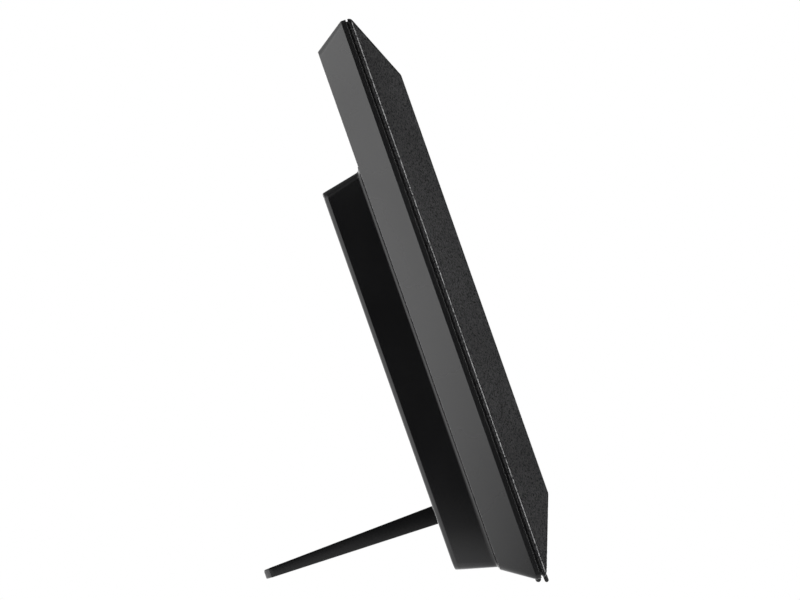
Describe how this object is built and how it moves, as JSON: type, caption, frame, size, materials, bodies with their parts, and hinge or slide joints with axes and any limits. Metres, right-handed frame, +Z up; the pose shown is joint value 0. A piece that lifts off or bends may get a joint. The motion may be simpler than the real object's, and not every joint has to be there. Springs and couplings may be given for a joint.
{
  "type": "digital photo frame",
  "caption": "Table-top picture display: bevelled front bezel and rear shell, electronics cover on the back and a fold-away rear leg.",
  "frame": {"origin": "on the surface that the frame stands on, below the middle of its bounding box", "axes": "+X to the right as seen from the front, +Y towards the back and the leg, +Z up; the screen faces -Y and slightly up"},
  "size_m": [0.2154, 0.0862, 0.1689],
  "materials": {
    "bezel_plastic": "fine spark-eroded texture",
    "shell_plastic": "smooth satin",
    "cover_plastic": "smooth satin",
    "leg_plastic": "smooth satin",
    "button_plastic": "semi-gloss",
    "window_glass": "polished",
    "display_glass": "polished",
    "lens_plastic": "polished dark red",
    "black_rubber": "matt",
    "black_foam": "closed-cell foam",
    "sheet_steel": "plated",
    "screw_steel": "plated",
    "white_film": "matt",
    "clear_plastic": "polished",
    "led_board": "matt",
    "circuit_board": "solder-masked",
    "chip_plastic": "matt",
    "can_aluminium": "bright",
    "socket_plastic": "smooth",
    "nylon": "smooth",
    "basket_steel": "painted",
    "cone_paper": "pressed paper",
    "lead_rubber": "smooth",
    "ribbon_film": "smooth"
  },
  "bodies": {
    "case": {"front_bezel": "bezel_plastic", "screen_window": "window_glass", "window_gasket": "black_foam", "lcd_glass": "display_glass", "lcd_metal_frame": "sheet_steel", "diffuser_sheets": "white_film", "light_guide": "clear_plastic", "led_strip": "led_board", "backlight_tray": "white_film", "support_plate": "sheet_steel", "support_screws": "screw_steel", "ir_lens": "lens_plastic", "ir_board": "circuit_board", "ir_receiver": "chip_plastic", "ir_screw": "screw_steel", "rear_shell": "shell_plastic", "case_screws": "screw_steel", "main_board": "circuit_board", "board_screws": "screw_steel", "processor": "chip_plastic", "memory_chips": "chip_plastic", "capacitors": "can_aluminium", "cell_holder": "chip_plastic", "coin_cell": "can_aluminium", "ribbon_sockets": "socket_plastic", "card_socket": "sheet_steel", "usb_socket": "sheet_steel", "dc_jack": "chip_plastic", "power_switch": "chip_plastic", "lead_socket": "socket_plastic", "speaker_baskets": "basket_steel", "speaker_cones": "cone_paper", "speaker_gaskets": "black_foam", "speaker_leads": "lead_rubber", "lcd_ribbon": "ribbon_film", "button_ribbon": "ribbon_film", "button_board": "circuit_board", "button_board_screws": "screw_steel", "tact_switches": "chip_plastic", "rear_cover": "cover_plastic", "cover_screws": "screw_steel", "hanger_plates": "sheet_steel", "hinge_pin": "screw_steel", "hinge_washers": "nylon", "rear_feet": "black_rubber", "front_feet": "black_rubber"},
    "leg": {"stand_leg": "leg_plastic", "stand_pad": "black_rubber"},
    "power_knob": {"power_knob": "button_plastic"},
    "power_button": {"power_button": "button_plastic"},
    "menu_button": {"menu_button": "button_plastic"},
    "left_button": {"left_button": "button_plastic"},
    "up_button": {"up_button": "button_plastic"},
    "down_button": {"down_button": "button_plastic"},
    "right_button": {"right_button": "button_plastic"},
    "enter_button": {"enter_button": "button_plastic"}
  },
  "joints": [
    {"name": "stand_hinge", "type": "hinge", "parent": "case", "child": "leg", "pos_m": [0, -0.01166, 0.02039], "axis": [1, 0, 0], "range_deg": [0, 90]},
    {"name": "power_knob_slide", "type": "slide", "parent": "case", "child": "power_knob", "axis": [0, 0.3319, 0.9433], "range_m": [0, 0.003]},
    {"name": "power_button_press", "type": "slide", "parent": "case", "child": "power_button", "axis": [0, -0.9433, 0.3319], "range_m": [0, 0.0005], "stiffness_N_per_m": 1000, "springref_m": -0.0002},
    {"name": "menu_button_press", "type": "slide", "parent": "case", "child": "menu_button", "axis": [0, -0.9433, 0.3319], "range_m": [0, 0.0005], "stiffness_N_per_m": 1000, "springref_m": -0.0002},
    {"name": "left_button_press", "type": "slide", "parent": "case", "child": "left_button", "axis": [0, -0.9433, 0.3319], "range_m": [0, 0.0005], "stiffness_N_per_m": 1000, "springref_m": -0.0002},
    {"name": "up_button_press", "type": "slide", "parent": "case", "child": "up_button", "axis": [0, -0.9433, 0.3319], "range_m": [0, 0.0005], "stiffness_N_per_m": 1000, "springref_m": -0.0002},
    {"name": "down_button_press", "type": "slide", "parent": "case", "child": "down_button", "axis": [0, -0.9433, 0.3319], "range_m": [0, 0.0005], "stiffness_N_per_m": 1000, "springref_m": -0.0002},
    {"name": "right_button_press", "type": "slide", "parent": "case", "child": "right_button", "axis": [0, -0.9433, 0.3319], "range_m": [0, 0.0005], "stiffness_N_per_m": 1000, "springref_m": -0.0002},
    {"name": "enter_button_press", "type": "slide", "parent": "case", "child": "enter_button", "axis": [0, -0.9433, 0.3319], "range_m": [0, 0.0005], "stiffness_N_per_m": 1000, "springref_m": -0.0002}
  ]
}
